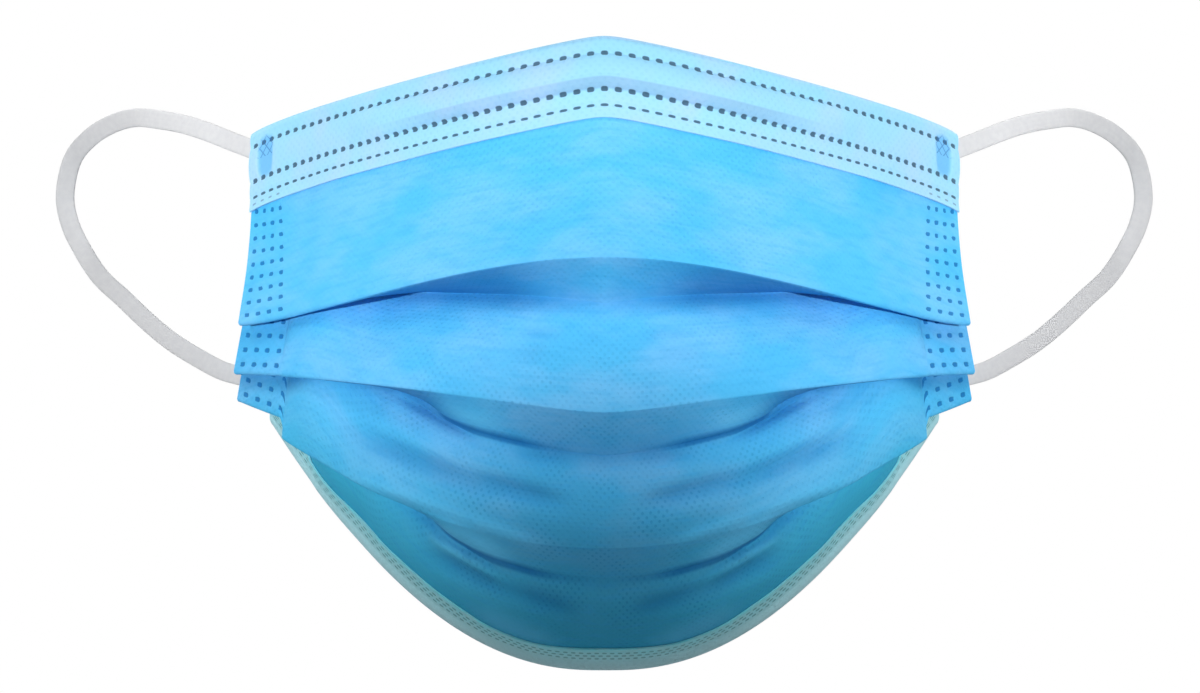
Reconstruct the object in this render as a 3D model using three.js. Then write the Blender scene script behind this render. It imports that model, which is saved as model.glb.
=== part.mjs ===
import * as THREE from "three";

// Pleated three-ply face mask in its worn form, held open as on a face.
// Millimetres, +Z up, +X to the right as seen from the front, and the front faces -Y.
// The origin is where the inside of the nose wire sits on the bridge of the nose.

// The whole mask
const HALF_WIDTH = 67; // middle plane to the outer edge of a side tab
const FRONT_HEIGHT = 114; // top edge over the nose to the lower edge under the chin
const FACE_DEPTH = 67; // foremost pleat to the rear corner of the lower edge

// The cloth
const CLOTH_WIDTH = 178; // side edge to side edge along the cloth
const CLOTH_THICKNESS = 1.0;
const LAYER_GAP = 0.45; // air between the layers of a closed pleat
const TAB_WIDTH = 13; // welded strip at each side, where the pleats stay closed
const RAMP_WIDTH = 2; // how soon the cloth springs forward once it has left a tab
const SPRING_HEIGHT = 2.4; // and how far
const PLEAT_DEPTH = 10;

// The bindings and the nose wire
const CLEARANCE = 0.3;
const BINDING_THICKNESS = 1.0;
const TOP_FLAP = 15.2;
const TOP_TURN_IN = 8;
const HEM_FLAP = 4;
const HEM_CLEARANCE = 0.45;
const WIRE_LENGTH = 100;
const WIRE_WIDTH = 4.5;
const WIRE_THICKNESS = 0.9;
const WIRE_BELOW_EDGE = 6.8;
const CLIMB_WIDTH = 1.6; // how far the flap takes to climb over the wire
const CROWN_SHARE = 1.25; // its climb over the wire's middle, where it is 1 over the wire's edges
const RUNOUT_LENGTH = 26; // how far past the wire's ends the climb dies out

// The ear loops
const LOOP_WIDTH = 3.5;
const LOOP_THICKNESS = 1.6;

// How finely the pieces are divided
const FREE_COLUMNS = 11; // from the middle plane to a side tab
const TAB_COLUMNS = 2;
const SWEEP_STEPS = 24;
const UPPER_ROWS = 7;
const SECTION_ROWS = [4, 4, 6];
const TURN_STEPS = 4;
const LOOP_STEPS = 40;
const LOOP_SIDES = 8;
const REACH = 0.01; // the small share that directions are measured over

// Lines that run across the mask, from the top edge to the lower edge.
// Heights are shares of FRONT_HEIGHT, depths of FACE_DEPTH and sideOut of HALF_WIDTH.
// turn is the angle that a line swings back, and ease how early it does so.
// bowIn and bowOut shape its rise or fall from the middle to the side, spring is its share of
// SPRING_HEIGHT, and tabLift is how much higher the welded tab holds it, as a share of the height.
const LINES = {
  edge: {
    middleUp: 0.061, middleBack: -0.01, sideOut: 0.957, sideUp: -0.084, sideBack: 0.73,
    turn: 52, ease: 3.3, bowIn: 1, bowOut: 0.79, spring: 0, tabLift: 0,
  },
  bridge: {
    middleUp: 0, middleBack: -0.027, sideOut: 0.958, sideUp: -0.134, sideBack: 0.7,
    turn: 52, ease: 3.3, bowIn: 1, bowOut: 0.81, spring: 0, tabLift: 0,
  },
  brow: {
    middleUp: -0.074, middleBack: -0.063, sideOut: 0.959, sideUp: -0.208, sideBack: 0.67,
    turn: 52, ease: 3.0, bowIn: 1, bowOut: 0.85, spring: 0, tabLift: 0,
  },
  cheek: {
    middleUp: -0.175, middleBack: -0.142, sideOut: 0.969, sideUp: -0.296, sideBack: 0.6,
    turn: 50, ease: 2.6, bowIn: 1.35, bowOut: 1, spring: 0.3, tabLift: 0,
  },
  ridge1: {
    middleUp: -0.286, middleBack: -0.246, sideOut: 0.987, sideUp: -0.39, sideBack: 0.51,
    turn: 48, ease: 2.3, bowIn: 1.7, bowOut: 1.45, spring: 0.6, tabLift: 0,
  },
  ridge2: {
    middleUp: -0.527, middleBack: -0.254, sideOut: 1, sideUp: -0.468, sideBack: 0.58,
    turn: 48, ease: 2.1, bowIn: 1.15, bowOut: 1.7, spring: 1, tabLift: 0,
  },
  ridge3: {
    middleUp: -0.738, middleBack: -0.157, sideOut: 0.992, sideUp: -0.512, sideBack: 0.63,
    turn: 48, ease: 2.0, bowIn: 1.8, bowOut: 1, spring: 1, tabLift: 0.023,
  },
  hem: {
    middleUp: -0.934, middleBack: 0.18, sideOut: 0.893, sideUp: -0.552, sideBack: 0.746,
    turn: 50, ease: 1.6, bowIn: 2.05, bowOut: 1, spring: 0, tabLift: 0,
  },
};

// The lines that the cloth follows above the first pleat's ridge.
const UPPER_LINES = [LINES.edge, LINES.bridge, LINES.brow, LINES.cheek];

// Each pleat: its depth as a share of PLEAT_DEPTH, how far its under side looks down in the
// middle, where across the cloth it lies level, how long it holds its opening, and how far
// the section below it swells, as a share of PLEAT_DEPTH too. With skew 1 that swelling is
// even, and with skew 2 it is mostly near the pleat.
const PLEATS = [
  {
    ridge: LINES.ridge1, next: LINES.ridge2,
    depth: 1, droop: 55, level: 0.62, hold: 1, swell: 0.16, skew: 1,
  },
  {
    ridge: LINES.ridge2, next: LINES.ridge3,
    depth: 1, droop: 50, level: 0.6, hold: 3, swell: 0.24, skew: 1,
  },
  {
    ridge: LINES.ridge3, next: LINES.hem,
    depth: 0.8, droop: 42, level: 0.6, hold: 3, swell: 0.3, skew: 2,
  },
];

// Sizes worked out from the ones above
const HALF_CLOTH = CLOTH_WIDTH / 2;
const TAB_SHARE = 1 - TAB_WIDTH / HALF_CLOTH;
const RAMP_SHARE = RAMP_WIDTH / HALF_CLOTH;
const LAYER_PITCH = CLOTH_THICKNESS + LAYER_GAP;
const FOLD_RADIUS = LAYER_PITCH / 2;
const FOLD_SEAT = LAYER_PITCH + FOLD_RADIUS;
const FLAP_OFFSET = (CLOTH_THICKNESS + BINDING_THICKNESS) / 2 + CLEARANCE;
const EDGE_COVER = FLAP_OFFSET + BINDING_THICKNESS / 2;
const HEM_OFFSET = (CLOTH_THICKNESS + BINDING_THICKNESS) / 2 + HEM_CLEARANCE;
const HEM_COVER = HEM_OFFSET + BINDING_THICKNESS / 2;
const WIRE_OFFSET = (CLOTH_THICKNESS + WIRE_THICKNESS) / 2 + CLEARANCE;
const WIRE_LIFT = WIRE_THICKNESS + CLEARANCE;
const WIRE_SHARE = WIRE_LENGTH / CLOTH_WIDTH;
const UP = new THREE.Vector3(0, 0, 1);

const rad = THREE.MathUtils.degToRad;
const smooth = (x) => THREE.MathUtils.smoothstep(x, 0, 1);

// How far out and back a line has gone at a share of its length, as shares of the whole.
function sweep(share, turn, ease) {
  const walk = (end) => {
    let out = 0;
    let back = 0;
    for (let step = 0; step < SWEEP_STEPS; step += 1) {
      const at = ((step + 0.5) / SWEEP_STEPS) * end;
      const heading = rad(turn) * (1 - (1 - at) ** ease);
      out += (Math.cos(heading) * end) / SWEEP_STEPS;
      back += (Math.sin(heading) * end) / SWEEP_STEPS;
    }
    return { out, back };
  };
  const here = walk(share);
  const whole = walk(1);
  return { out: here.out / whole.out, back: here.back / whole.back };
}

// How much of the welded tab is felt at a share: 1 on the tab's inner edge, 0 a step away
// from it and on the side edge.
function tabHold(share) {
  return share > TAB_SHARE ? (1 - share) / (1 - TAB_SHARE) : 1 - freeOfTab(share);
}

// 0 on a tab and 1 where the cloth has sprung forward from it.
function freeOfTab(share) {
  return smooth((TAB_SHARE - share) / RAMP_SHARE);
}

// The point of a line at a share of the way from the middle plane (0) to the side edge (1).
function linePoint(line, share) {
  const { out, back } = sweep(share, line.turn, line.ease);
  const bow = 1 - (1 - out ** line.bowIn) ** line.bowOut;
  const swing = rad(line.turn) * (1 - (1 - share) ** line.ease);
  const spring = SPRING_HEIGHT * line.spring * freeOfTab(share) * share;
  return new THREE.Vector3(
    HALF_WIDTH * line.sideOut * out + spring * Math.sin(swing),
    FACE_DEPTH * (line.middleBack + (line.sideBack - line.middleBack) * back) - spring * Math.cos(swing),
    FRONT_HEIGHT * (line.middleUp + (line.sideUp - line.middleUp) * bow + line.tabLift * tabHold(share)),
  );
}

// The level direction that points straight out of the cloth at a share of a line.
function outward(line, share) {
  const near = linePoint(line, Math.max(share - REACH, 0));
  const far = linePoint(line, Math.min(share + REACH, 1));
  return new THREE.Vector3(far.y - near.y, near.x - far.x, 0).normalize();
}

// A direction in the upright plane of outward and UP, by its angle from outward.
function heading(out, angle) {
  return out.clone().multiplyScalar(Math.cos(angle)).addScaledVector(UP, Math.sin(angle));
}

// Three points round a fold whose apex is known. side is 1 for a ridge and -1 for a valley.
function foldPoints(apex, out, inAngle, outAngle, side) {
  const middle = (inAngle + outAngle) / 2;
  const normal = (angle) => heading(out, angle + Math.PI / 2);
  const centre = apex.clone().addScaledVector(normal(middle), -side * FOLD_RADIUS);
  return [inAngle, middle, outAngle].map((angle) =>
    centre.clone().addScaledVector(normal(angle), side * FOLD_RADIUS),
  );
}

// The angle at which the cloth runs from one point to another, as heading takes it.
function runAngle(from, to, out) {
  const step = to.clone().sub(from);
  return Math.atan2(step.z, step.dot(out));
}

// How far a pleat is closed at a share: 0 where its under side lies level, 1 on the tabs.
function closing(pleat, share) {
  return smooth((share / TAB_SHARE - pleat.level) / (1 - pleat.level));
}

// The angle of a pleat's under side: it looks down in the middle, and on the tabs it is
// folded up behind the section above, which comes down at inAngle.
function returnAngle(pleat, share, inAngle) {
  const open = Math.max(1 - (share / TAB_SHARE / pleat.level) ** pleat.hold, 0);
  return -Math.PI + rad(pleat.droop) * open + inAngle * closing(pleat, share);
}

// The upper section at a share across, as a curve from the top edge to the first fold.
function upperCurve(share, firstFold) {
  const points = UPPER_LINES.map((line) => linePoint(line, share));
  return new THREE.CatmullRomCurve3([...points, firstFold], false, "centripetal");
}

// The point of that curve at a distance down the cloth from the top edge.
function downCurve(curve, distance) {
  return curve.getPointAt(distance / curve.getLength());
}

// How far the section below a pleat swells at a share across, not at all on the side tabs,
// and at a part of the way down it.
function swellAt(pleat, share, part) {
  const most = (1 / (pleat.skew + 1)) * (pleat.skew / (pleat.skew + 1)) ** pleat.skew;
  const full = PLEAT_DEPTH * pleat.swell * smooth((TAB_SHARE - share) / (1 - TAB_SHARE));
  return (full * part * (1 - part) ** pleat.skew) / most;
}

// The angle that a section's swelling adds to its run at one end, part 0 or 1.
function swellTurn(pleat, share, part, span) {
  const inner = swellAt(pleat, share, Math.abs(part - REACH));
  return Math.atan2(inner, REACH * span);
}

// Every row of the panel's middle surface at one share across, from top edge to lower edge.
function panelProfile(share) {
  const rows = [];
  let start = null;
  let endTurn = 0;
  let before = linePoint(LINES.cheek, share);
  PLEATS.forEach((pleat, number) => {
    const out = outward(pleat.ridge, share);
    const ridge = linePoint(pleat.ridge, share);
    const next = linePoint(pleat.next, share);
    const inAngle = runAngle(before, ridge, out) - endTurn;
    const backAngle = returnAngle(pleat, share, inAngle);
    const valley = ridge
      .clone()
      .addScaledVector(heading(out, backAngle), PLEAT_DEPTH * pleat.depth)
      .addScaledVector(heading(out, inAngle + Math.PI / 2), -FOLD_SEAT * closing(pleat, share));
    const span = next.distanceTo(valley);
    endTurn = swellTurn(pleat, share, 1, span);
    const outAngle = runAngle(valley, next, outward(pleat.next, share)) + swellTurn(pleat, share, 0, span);
    const ridgeFold = foldPoints(ridge, out, inAngle, backAngle, 1);
    const valleyFold = foldPoints(valley, out, backAngle, outAngle, -1);
    if (number === 0) {
      const upper = upperCurve(share, ridgeFold[0]);
      const length = upper.getLength() - EDGE_COVER;
      for (let row = 0; row < UPPER_ROWS; row += 1) {
        rows.push(downCurve(upper, EDGE_COVER + (length * row) / UPPER_ROWS));
      }
    } else {
      rows.push(...sectionRows(start, ridgeFold[0], number - 1, share));
    }
    rows.push(...ridgeFold, ...valleyFold);
    start = valleyFold[2];
    before = valley;
  });
  const hem = linePoint(LINES.hem, share);
  const span = hem.distanceTo(start);
  const end = start.clone().lerp(hem, 1 - HEM_COVER / span);
  rows.push(...sectionRows(start, end, PLEATS.length - 1, share), end);
  return rows;
}

// The rows strictly between two ends of a section, swelled outward between the side tabs.
function sectionRows(start, end, number, share) {
  const pleat = PLEATS[number];
  const out = outward(pleat.next, share);
  const angle = runAngle(start, end, out);
  const normal = heading(out, angle + Math.PI / 2);
  const rows = [];
  for (let row = 1; row < SECTION_ROWS[number]; row += 1) {
    const part = row / SECTION_ROWS[number];
    rows.push(start.clone().lerp(end, part).addScaledVector(normal, swellAt(pleat, share, part)));
  }
  return rows;
}

// Shares across the cloth, from the left side edge (-1) to the right one (1).
function columnShares() {
  const half = [];
  for (let column = 0; column < FREE_COLUMNS; column += 1) {
    half.push(((TAB_SHARE - RAMP_SHARE) * column) / (FREE_COLUMNS - 1));
  }
  for (let column = 0; column <= TAB_COLUMNS; column += 1) {
    half.push(TAB_SHARE + ((1 - TAB_SHARE) * column) / TAB_COLUMNS);
  }
  return [...half.slice(1).reverse().map((share) => -share), ...half];
}

function mirrored(point) {
  return new THREE.Vector3(-point.x, point.y, point.z);
}

// A grid of rows by columns from a function that gives the profile at a share from 0 to 1.
function gridOf(shares, profile) {
  const columns = shares.map((share) => {
    const points = profile(Math.abs(share));
    return share < 0 ? points.map(mirrored) : points;
  });
  return columns[0].map((_, row) => columns.map((column) => column[row]));
}

// The offset at each grid point that moves the surface outward by one unit, mitred at folds.
function mitres(grid) {
  return grid.map((line, row) =>
    line.map((point, column) => {
      const left = line[Math.max(column - 1, 0)];
      const right = line[Math.min(column + 1, line.length - 1)];
      const across = right.clone().sub(left);
      const faces = [];
      if (row > 0) {
        faces.push(point.clone().sub(grid[row - 1][column]).cross(across).normalize());
      }
      if (row < grid.length - 1) {
        faces.push(grid[row + 1][column].clone().sub(point).cross(across).normalize());
      }
      if (faces.length === 1) {
        return faces[0];
      }
      const sum = faces[0].clone().add(faces[1]);
      return sum.divideScalar(1 + faces[0].dot(faces[1]));
    }),
  );
}

function offsetGrid(grid, distance) {
  const normals = mitres(grid);
  return grid.map((line, row) =>
    line.map((point, column) => point.clone().addScaledVector(normals[row][column], distance)),
  );
}

// A closed sheet of even thickness round a middle surface.
function thickSheet(grid, wall) {
  const sides = [offsetGrid(grid, wall / 2), offsetGrid(grid, -wall / 2)];
  const rows = grid.length;
  const columns = grid[0].length;
  const positions = sides.flat(2).flatMap((p) => [p.x, p.y, p.z]);
  const at = (side, row, column) => (side * rows + row) * columns + column;
  const faces = [];
  const quad = (a, b, c, d) => faces.push(a, b, c, a, c, d);
  for (let row = 0; row < rows - 1; row += 1) {
    for (let column = 0; column < columns - 1; column += 1) {
      quad(at(0, row, column), at(0, row + 1, column), at(0, row + 1, column + 1), at(0, row, column + 1));
      quad(at(1, row, column), at(1, row, column + 1), at(1, row + 1, column + 1), at(1, row + 1, column));
    }
    const end = columns - 1;
    quad(at(1, row, 0), at(1, row + 1, 0), at(0, row + 1, 0), at(0, row, 0));
    quad(at(0, row, end), at(0, row + 1, end), at(1, row + 1, end), at(1, row, end));
  }
  for (let column = 0; column < columns - 1; column += 1) {
    const end = rows - 1;
    quad(at(1, 0, column), at(0, 0, column), at(0, 0, column + 1), at(1, 0, column + 1));
    quad(at(0, end, column), at(1, end, column), at(1, end, column + 1), at(0, end, column + 1));
  }
  const geometry = new THREE.BufferGeometry();
  geometry.setAttribute("position", new THREE.Float32BufferAttribute(positions, 3));
  geometry.setIndex(faces);
  geometry.computeVertexNormals();
  return geometry;
}

// Half a turn round an edge of the panel, from one flap of a binding to the other.
function edgeTurn(edge, normal, beyond, offset) {
  const points = [];
  for (let step = 0; step <= TURN_STEPS; step += 1) {
    const angle = (Math.PI * step) / TURN_STEPS;
    points.push(
      edge
        .clone()
        .addScaledVector(normal, offset * Math.cos(angle))
        .addScaledVector(beyond, offset * Math.sin(angle)),
    );
  }
  return points;
}

function material(color, roughness) {
  return new THREE.MeshStandardMaterial({ color, roughness, metalness: 0, side: THREE.DoubleSide });
}

function named(name, geometry, finish) {
  const mesh = new THREE.Mesh(geometry, finish);
  mesh.name = name;
  return mesh;
}

const BLUE_CLOTH = material(0x5fc7fe, 0.85);
const PALE_CLOTH = material(0xc4e4f8, 0.85);
const WIRE_FINISH = material(0xf2f4f5, 0.5);
const ELASTIC = material(0xd6d7d8, 0.8);

// Distances down the cloth where the top binding's front flap has a row, lowest first,
// and whether the flap stands over the wire there.
const FLAP_ROWS = [
  { down: TOP_FLAP, over: 0 },
  { down: WIRE_BELOW_EDGE + WIRE_WIDTH / 2 + CLEARANCE + CLIMB_WIDTH, over: 0 },
  { down: WIRE_BELOW_EDGE + WIRE_WIDTH / 2 + CLEARANCE, over: 1 },
  { down: WIRE_BELOW_EDGE, over: CROWN_SHARE },
  { down: WIRE_BELOW_EDGE - WIRE_WIDTH / 2 - CLEARANCE, over: 1 },
  { down: WIRE_BELOW_EDGE - WIRE_WIDTH / 2 - CLEARANCE - CLIMB_WIDTH, over: 0 },
];

function upperAt(share) {
  const out = outward(LINES.ridge1, share);
  const before = linePoint(LINES.cheek, share);
  const ridge = linePoint(LINES.ridge1, share);
  const inAngle = runAngle(before, ridge, out);
  return upperCurve(share, foldPoints(ridge, out, inAngle, returnAngle(PLEATS[0], share, inAngle), 1)[0]);
}

// The point at a distance down the upper section, on the left half where the share is negative.
function upperPoint(share, down) {
  const point = downCurve(upperAt(Math.abs(share)), down);
  return share < 0 ? mirrored(point) : point;
}

// That point, and the directions down the cloth and out of it.
function upperFrame(share, down) {
  const upper = upperAt(share);
  const slope = upper.getTangentAt(down / upper.getLength());
  const across = upperPoint(Math.min(share + REACH, 1), down).sub(upperPoint(share - REACH, down));
  return { point: upperPoint(share, down), slope, normal: slope.clone().cross(across).normalize() };
}

function topBinding(shares) {
  const profile = (share) => {
    const channel = smooth(1 - ((share - WIRE_SHARE) * HALF_CLOTH) / RUNOUT_LENGTH);
    const rows = FLAP_ROWS.map(({ down, over }) => {
      const { point, normal } = upperFrame(share, down);
      return point.addScaledVector(normal, FLAP_OFFSET + WIRE_LIFT * over * channel);
    });
    const rim = upperFrame(share, EDGE_COVER);
    rows.push(...edgeTurn(rim.point, rim.normal, rim.slope.clone().negate(), FLAP_OFFSET));
    for (const down of [TOP_TURN_IN / 2, TOP_TURN_IN]) {
      const { point, normal } = upperFrame(share, EDGE_COVER + down);
      rows.push(point.addScaledVector(normal, -FLAP_OFFSET));
    }
    return rows.reverse();
  };
  return thickSheet(gridOf(shares, profile), BINDING_THICKNESS);
}

function noseWire(shares) {
  const inside = shares.filter((share) => Math.abs(share) < WIRE_SHARE);
  const reach = [-WIRE_SHARE, ...inside, WIRE_SHARE];
  const profile = (share) =>
    [-0.5, 0, 0.5].map((part) => {
      const { point, normal } = upperFrame(share, WIRE_BELOW_EDGE + WIRE_WIDTH * part);
      return point.addScaledVector(normal, WIRE_OFFSET);
    });
  return thickSheet(gridOf(reach, profile), WIRE_THICKNESS);
}

// The point at a distance up the cloth from the lower edge, and the direction out of it.
function nearHem(panel, normals, column, distance) {
  let row = panel.length - 1;
  let left = distance;
  let span = panel[row][column].distanceTo(panel[row - 1][column]);
  while (left > span) {
    left -= span;
    row -= 1;
    span = panel[row][column].distanceTo(panel[row - 1][column]);
  }
  const part = left / span;
  return {
    point: panel[row][column].clone().lerp(panel[row - 1][column], part),
    normal: normals[row][column].clone().lerp(normals[row - 1][column], part),
  };
}

function bottomBinding(panel) {
  const normals = mitres(panel);
  const columns = panel[0].map((_, column) => {
    const edge = nearHem(panel, normals, column, 0);
    const above = nearHem(panel, normals, column, HEM_OFFSET).point;
    const slope = edge.point.clone().sub(above).normalize();
    const flap = (side) =>
      [1, 0.5].map((part) => {
        const { point, normal } = nearHem(panel, normals, column, HEM_FLAP * part);
        return point.addScaledVector(normal, side * HEM_OFFSET);
      });
    return [...flap(1), ...edgeTurn(edge.point, edge.normal, slope, HEM_OFFSET), ...flap(-1).reverse()];
  });
  const grid = columns[0].map((_, row) => columns.map((column) => column[row]));
  return thickSheet(grid, BINDING_THICKNESS);
}

// The ear loop on the right, from its upper weld round to its lower weld.
const LOOP_ROUTE = [
  [57.0, 45.4, -13.8],
  [61.4, 50.4, -13.0],
  [68.0, 56.0, -11.0],
  [73.0, 61.5, -9.0],
  [77.5, 67.5, -7.5],
  [82.5, 74.0, -6.5],
  [87.0, 80.0, -6.0],
  [91.5, 86.0, -7.0],
  [96.0, 91.5, -9.5],
  [99.5, 96.0, -13.5],
  [101.0, 98.0, -20.5],
  [100.0, 96.5, -25.5],
  [97.5, 93.5, -30.5],
  [94.0, 88.5, -35.5],
  [89.5, 82.0, -39.5],
  [84.5, 75.0, -44.0],
  [80.0, 68.5, -47.5],
  [75.0, 62.5, -50.5],
  [70.0, 57.0, -53.0],
  [65.0, 52.0, -54.2],
  [60.6, 47.3, -54.4],
  [57.0, 41.6, -54.4],
];

function loopSection() {
  const shape = new THREE.Shape();
  shape.absellipse(0, 0, LOOP_WIDTH / 2, LOOP_THICKNESS / 2, 0, 2 * Math.PI);
  return new THREE.Shape(shape.getPoints(LOOP_SIDES / 2).slice(0, -1));
}

function earLoop(side) {
  const points = LOOP_ROUTE.map(([x, y, z]) => new THREE.Vector3(side * x, y, z));
  const path = new THREE.CatmullRomCurve3(points, false, "centripetal");
  return new THREE.ExtrudeGeometry(loopSection(), { extrudePath: path, steps: LOOP_STEPS });
}

const shares = columnShares();
const panelGrid = gridOf(shares, panelProfile);

const mask = new THREE.Group();
mask.add(named("pleated_panel", thickSheet(panelGrid, CLOTH_THICKNESS), BLUE_CLOTH));
mask.add(named("top_binding", topBinding(shares), PALE_CLOTH));
mask.add(named("nose_wire", noseWire(shares), WIRE_FINISH));
mask.add(named("bottom_binding", bottomBinding(panelGrid), PALE_CLOTH));
mask.add(named("ear_loop_left", earLoop(-1), ELASTIC));
mask.add(named("ear_loop_right", earLoop(1), ELASTIC));

export default mask;
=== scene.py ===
import math
from collections import namedtuple

import bpy
import numpy as np
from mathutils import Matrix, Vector, noise


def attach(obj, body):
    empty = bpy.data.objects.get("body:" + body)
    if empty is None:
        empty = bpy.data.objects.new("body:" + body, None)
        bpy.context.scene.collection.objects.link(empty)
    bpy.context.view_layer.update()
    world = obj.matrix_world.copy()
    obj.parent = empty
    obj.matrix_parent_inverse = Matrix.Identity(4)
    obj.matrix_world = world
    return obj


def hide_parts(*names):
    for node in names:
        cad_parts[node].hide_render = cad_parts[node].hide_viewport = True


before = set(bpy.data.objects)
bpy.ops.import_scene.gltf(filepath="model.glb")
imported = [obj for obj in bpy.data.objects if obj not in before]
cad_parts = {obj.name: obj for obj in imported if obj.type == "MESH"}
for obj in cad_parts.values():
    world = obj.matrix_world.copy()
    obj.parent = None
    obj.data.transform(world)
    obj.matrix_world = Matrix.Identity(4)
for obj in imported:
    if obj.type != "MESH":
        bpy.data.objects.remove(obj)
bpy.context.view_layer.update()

MM = 0.001
UP = np.array([0.0, 0.0, 1.0])

# The photograph's view
PHOTO_WIDTH = 1200
MASK_MIDDLE_PIXEL = 604.5
PIXELS_PER_MM = 5.6
CAMERA_DISTANCE = 2000.0
CAMERA_HEIGHT = -48.5
SENSOR_WIDTH = 36.0

# The floor and the lamps: sizes in metres, and turns and rises in degrees from straight ahead
FLOOR_SIZE = 4
FLOOR_HEIGHT = -0.6
SOFT_LAMP_SIZE = 0.8
SOFT_LAMP_SPREAD = 30
KEY_POWER = 0.35
KEY_TURN = 42
KEY_RISE = 50
KEY_DISTANCE = 2.2
BACK_POWER = 1.3
BACK_TURN = 145
BACK_RISE = 25
BACK_DISTANCE = 2.0
BEAM_TURN = 30
BEAM_DISTANCE = 2.0
BEAM_SOFTNESS = 0.03
SKY_HEIGHTS = (-0.1, 0.9)
SKY_LIGHT = (0.0, 0.3)

# Where each beam meets the mask on the right side, and its radius there, in millimetres
FILL_POWER = 145.0
FILL_MEETS = (50, 15, -20)
FILL_RADIUS = 92
LOOP_LAMP_POWER = 94.0
LOOP_LAMP_MEETS = (92, 92, -13)
LOOP_LAMP_RADIUS = 50

# The whole mask
HALF_WIDTH = 67.0
FRONT_HEIGHT = 114.0
FACE_DEPTH = 67.0
HALF_CLOTH = 89.0

# The cloth and its pleats
CLOTH = 0.5
LAYER_GAP = 0.25
TAB_WIDTH = 13.0
RAMP_WIDTH = 2.0
SPRING_INSET = 14.0
SPRING_RAMP = {"cheek": 16.0, "ridge1": 16.0, "ridge2": 2.6, "ridge3": 2.6}
SPRING_HEIGHT = 2.4
PLEAT_DEPTH = 10.0
SLIP = 1.1  # how many times the cloth's own slant a pleat's hidden part leans sideways
WRINKLE_HEIGHT = 0.6
WRINKLE_WIDTH = 22
WRINKLE_LENGTH = 9
CREASE_TAPER = 0.4  # the share of a crease's length that fades out at each end
LOOSE_RAMP = 0.2  # the share of the half cloth over which it comes loose from a tab
PEAK_ROUNDING = 0.05
SWEEP_STEPS = 24
REACH = 0.01  # the share over which slopes are measured
SHARP_ANGLE = 65

# The bindings and the nose wire
BINDING = 0.3
FLAP_WIDTH = 15.2
TURN_IN_WIDTH = 8.0
FLAP_AIR = 0.08
HEM_WIDTH = 6.8
HEM_TURN_IN = 4.0
HEM_AIR = 0.1
HEM_ROLL = 0.35
HEM_ROLL_SPAN = (-0.5, 2.3)
HEM_START = 0.3
HEM_STIFFNESS = 12.0  # how far from the hem the cloth is held smooth
WIRE_LENGTH = 96.0
WIRE_WIDTH = 3.6
WIRE_THICKNESS = 0.7
WIRE_BELOW_EDGE = 6.5
WIRE_RISE = 1.35
WIRE_RUNOUT = 16.0  # how far past the wire's ends the flap comes down
CHANNEL_PUFF = 0.4
UPPER_PUFF = 0.14
LOWER_PUFF = 0.12
FLAP_OVERLAP = 1.0  # how far above the flap's lower edge the panel's fine rows start

# The welds, and the cloth's pressed points
WELD_PITCH = 2.5
DOT_SQUARENESS = 3.0
DOT_CORE = 0.5
DOT_RIM = 1.3
DOT_COLUMNS = [-0.62, -0.4, 0, 0.4, 0.62]  # the mesh's columns round a dot's middle
TAB_DENT = 0.28
BAND_DENT = 0.2
FAR_FROM_WELDS = -9.0
TAB_WELD_COLUMNS = 4
TAB_WELD_INSET = 1.6
TAB_WELD_ABOVE_RIDGE = 1.6
TAB_WELD_ROW_PITCH = 2.7
TAB_WELD_SPREAD = [0.98, 1.38, 1.45, 1.25]  # how far apart its columns lie, against the pitch
PATCH_INSET = 4.9
PATCH_NET_PITCH = 2.1
EMBOSS_PITCH = 1.15
EMBOSS_DOT = 0.5

# The ear loops
LOOP_WIDTH = 3.5
LOOP_THICKNESS = 0.95
LOOP_RIB_PITCH = 0.88
LOOP_SIDE_ROUNDING = 0.7
LOOP_FACE_ROUNDING = 0.45
LOOP_SIDES = 28
LOOP_SPAN_STEPS = 8
LOOP_WELD_SHARE = 0.95

# The worn cloth's level lines: where each lies at the middle and at the side, as shares of the
# whole mask, how it turns back and bows between them, and how far it springs out.
Line = namedtuple(
    "Line",
    "middle_up middle_back side_out side_up side_back turn ease bow_in bow_out spring tab_lift",
)
LINES = {
    "edge": Line(0.061, -0.01, 0.957, -0.084, 0.73, 52, 3.3, 1, 0.79, 0, 0),
    "bridge": Line(0, -0.027, 0.958, -0.134, 0.7, 52, 3.3, 1, 0.81, 0, 0),
    "brow": Line(-0.074, -0.063, 0.959, -0.208, 0.67, 52, 3.0, 1, 0.85, 0, 0),
    "cheek": Line(-0.175, -0.142, 0.969, -0.296, 0.6, 50, 2.6, 1.35, 1, 0.3, 0),
    "ridge1": Line(-0.286, -0.246, 0.987, -0.39, 0.51, 48, 2.3, 1.7, 1.45, 0.6, 0),
    "ridge2": Line(-0.527, -0.254, 1, -0.468, 0.58, 48, 2.1, 1.15, 1.7, 1, 0),
    "ridge3": Line(-0.738, -0.157, 0.992, -0.512, 0.63, 48, 2.0, 1.8, 1, 1, 0.023),
    "hem": Line(-0.934, 0.18, 0.893, -0.552, 0.746, 50, 1.6, 2.05, 1, 0, 0),
}
UPPER_LINES = ["edge", "bridge", "brow", "cheek"]

# The pleats: each one's ridge and the line below it, its depth, how its under side droops, where
# it starts to close and how fast, and how the cloth below it swells.
Pleat = namedtuple("Pleat", "ridge next depth droop level hold swell skew")
PLEATS = [
    Pleat("ridge1", "ridge2", 1, 55, 0.62, 1, 0.16, 1),
    Pleat("ridge2", "ridge3", 1, 50, 0.66, 3, 0.24, 1),
    Pleat("ridge3", "hem", 0.8, 44, 0.64, 3, 0.3, 2),
]

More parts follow.
